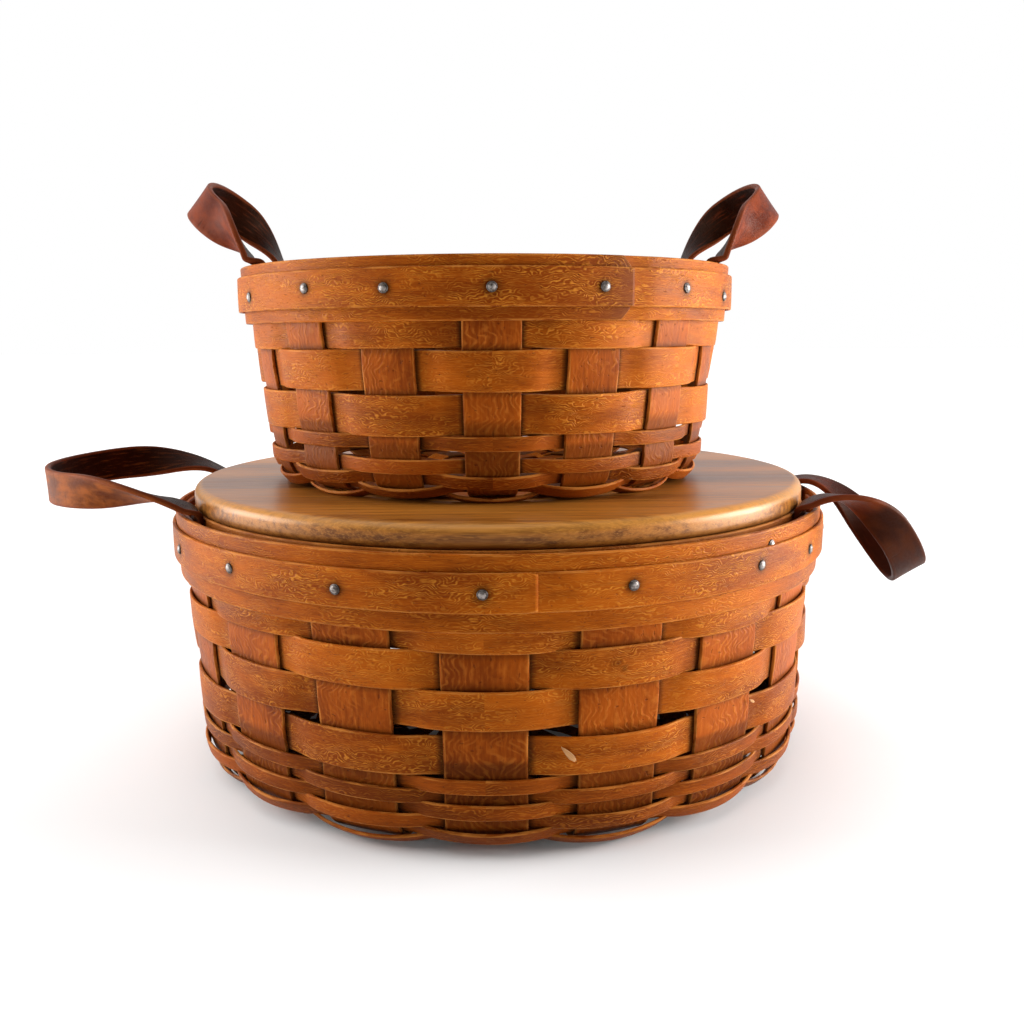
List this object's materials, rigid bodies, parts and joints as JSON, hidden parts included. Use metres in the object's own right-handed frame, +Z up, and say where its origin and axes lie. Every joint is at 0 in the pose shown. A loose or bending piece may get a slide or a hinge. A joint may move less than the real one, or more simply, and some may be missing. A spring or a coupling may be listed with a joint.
{
  "type": "stacked splint baskets",
  "caption": "Small round woven splint basket with leather ears standing on the turned wooden lid of a larger matching basket.",
  "frame": {"origin": "on the floor, under the axis of the large basket", "axes": "+Z up out of the baskets; +X towards the viewer's right, from the left ears to the right ears; the front is -Y"},
  "size_m": [0.3408, 0.2584, 0.2217],
  "materials": {
    "upright_splint": "stained maple splint, satin varnish",
    "wide_splint": "stained maple splint, satin varnish",
    "narrow_splint": "stained maple splint, satin varnish",
    "rim_band": "stained maple band, satin varnish",
    "trim_strip": "stained maple strip, satin varnish",
    "inner_band": "pale maple band, thin varnish",
    "lid_wood": "turned board, satin varnish",
    "ear_leather": "red-brown harness leather, burnished edges",
    "tack_steel": "dull, slightly tarnished"
  },
  "bodies": {
    "large_basket": {"large_strip_1": "upright_splint", "large_strip_2": "upright_splint", "large_strip_3": "upright_splint", "large_strip_4": "upright_splint", "large_strip_5": "upright_splint", "large_strip_6": "upright_splint", "large_strip_7": "upright_splint", "large_strip_8": "upright_splint", "large_strip_9": "upright_splint", "large_wide_weaver_1": "wide_splint", "large_wide_weaver_2": "wide_splint", "large_wide_weaver_3": "wide_splint", "large_wide_weaver_4": "wide_splint", "large_narrow_weaver_1": "narrow_splint", "large_narrow_weaver_2": "narrow_splint", "large_narrow_weaver_3": "narrow_splint", "large_narrow_weaver_4": "narrow_splint", "large_narrow_weaver_5": "narrow_splint", "large_narrow_weaver_6": "narrow_splint", "large_base_weavers": "wide_splint", "large_outer_band": "rim_band", "large_trim_strip": "trim_strip", "large_inner_band": "inner_band", "large_rim_tacks": "tack_steel", "large_left_ear_ends": "ear_leather", "large_right_ear_ends": "ear_leather"},
    "lid": {"lid": "lid_wood"},
    "small_basket": {"small_strip_1": "upright_splint", "small_strip_2": "upright_splint", "small_strip_3": "upright_splint", "small_strip_4": "upright_splint", "small_strip_5": "upright_splint", "small_strip_6": "upright_splint", "small_strip_7": "upright_splint", "small_strip_8": "upright_splint", "small_wide_weaver_1": "wide_splint", "small_wide_weaver_2": "wide_splint", "small_wide_weaver_3": "wide_splint", "small_narrow_weaver_1": "narrow_splint", "small_narrow_weaver_2": "narrow_splint", "small_narrow_weaver_3": "narrow_splint", "small_narrow_weaver_4": "narrow_splint", "small_narrow_weaver_5": "narrow_splint", "small_base_weavers": "wide_splint", "small_outer_band": "rim_band", "small_trim_strip": "trim_strip", "small_inner_band": "inner_band", "small_rim_tacks": "tack_steel", "small_left_ear_ends": "ear_leather", "small_right_ear_ends": "ear_leather"},
    "large_left_ear": {"large_left_ear_loop": "ear_leather"},
    "large_right_ear": {"large_right_ear_loop": "ear_leather"},
    "small_left_ear": {"small_left_ear_loop": "ear_leather"},
    "small_right_ear": {"small_right_ear_loop": "ear_leather"}
  },
  "joints": [
    {"name": "lid_lift", "type": "slide", "parent": "large_basket", "child": "lid", "axis": [0, 0, 1], "range_m": [0, 0.06]},
    {"name": "small_basket_lift", "type": "slide", "parent": "lid", "child": "small_basket", "axis": [0, 0, 1], "range_m": [0, 0.06]},
    {"name": "large_left_ear_swing", "type": "hinge", "parent": "large_basket", "child": "large_left_ear", "pos_m": [-0.11612, -0.01118, 0.1026], "axis": [-0.0958, 0.9954, 0], "range_deg": [-30, 60]},
    {"name": "large_right_ear_swing", "type": "hinge", "parent": "large_basket", "child": "large_right_ear", "pos_m": [0.11884, -0.02591, 0.1026], "axis": [-0.213, -0.977, 0], "range_deg": [-8, 65]},
    {"name": "small_left_ear_swing", "type": "hinge", "parent": "small_basket", "child": "small_left_ear", "pos_m": [-0.08976, -0.00673, 0.19], "axis": [-0.0297, 0.9996, 0], "range_deg": [-45, 80]},
    {"name": "small_right_ear_swing", "type": "hinge", "parent": "small_basket", "child": "small_right_ear", "pos_m": [0.08076, -0.00167, 0.19], "axis": [0.0297, -0.9996, 0], "range_deg": [-45, 80]}
  ]
}
